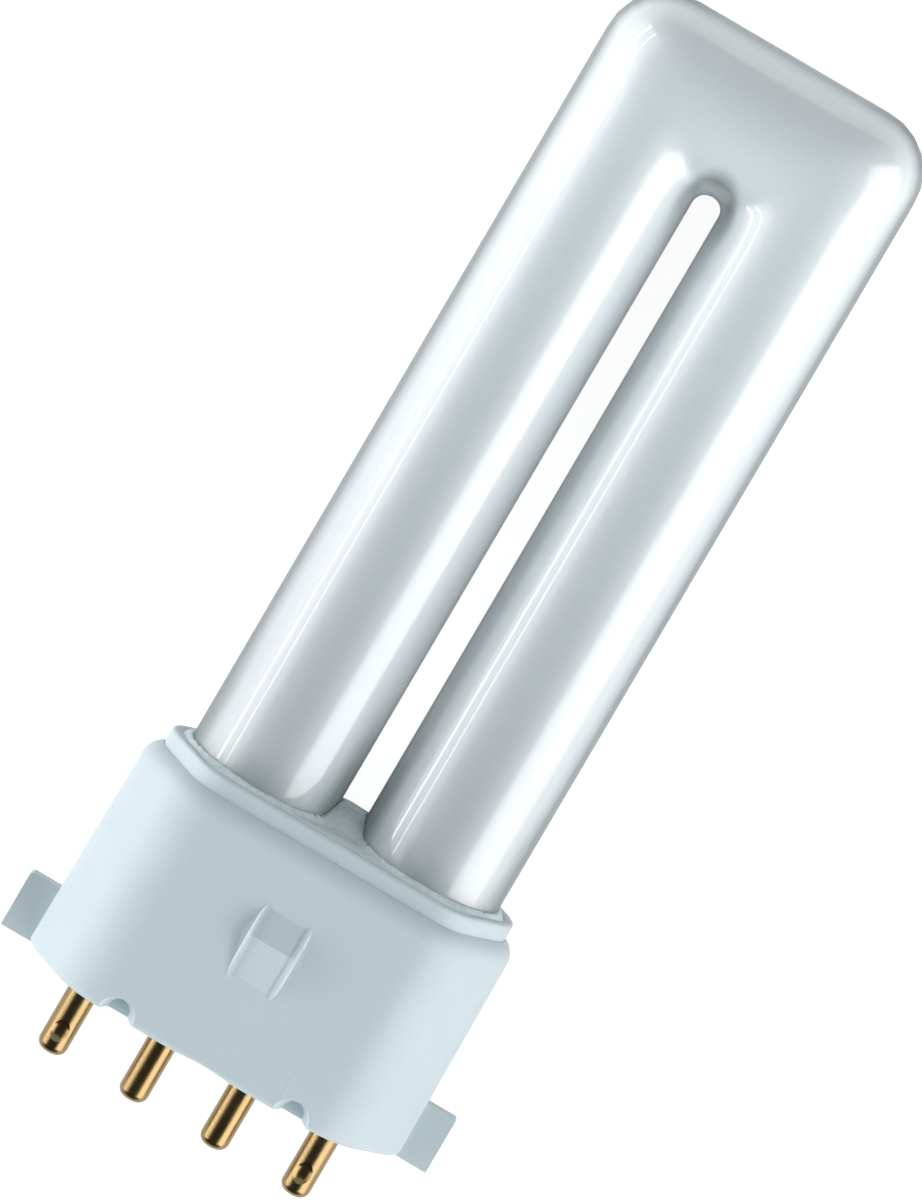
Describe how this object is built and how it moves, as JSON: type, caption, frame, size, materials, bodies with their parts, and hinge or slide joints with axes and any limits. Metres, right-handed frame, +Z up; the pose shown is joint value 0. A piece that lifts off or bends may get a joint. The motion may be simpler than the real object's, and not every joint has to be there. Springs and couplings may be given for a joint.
{
  "type": "compact fluorescent lamp",
  "caption": "Single turn compact fluorescent lamp: a narrow U shaped glass tube potted in a flat plastic cap with a row of brass contact pins.",
  "frame": {"origin": "centre of the lamp's box on the surface that it lies on", "axes": "+X along the length towards the bend of the tube, +Z up from the surface, +Y across the row of pins"},
  "size_m": [0.0928, 0.0368, 0.0205],
  "materials": {
    "coated_glass": "gloss",
    "holder_plastic": "satin",
    "potting": "matt",
    "cap_plastic": "satin",
    "pin_brass": "polished",
    "lead_wire": "bright"
  },
  "bodies": {
    "root": {"discharge_tube": "coated_glass", "tube_holder": "holder_plastic", "potting": "potting", "cap_housing": "cap_plastic", "contact_pin_1": "pin_brass", "contact_pin_2": "pin_brass", "contact_pin_3": "pin_brass", "contact_pin_4": "pin_brass", "lead_wire_1": "lead_wire", "lead_wire_2": "lead_wire", "lead_wire_3": "lead_wire", "lead_wire_4": "lead_wire"}
  },
  "joints": []
}
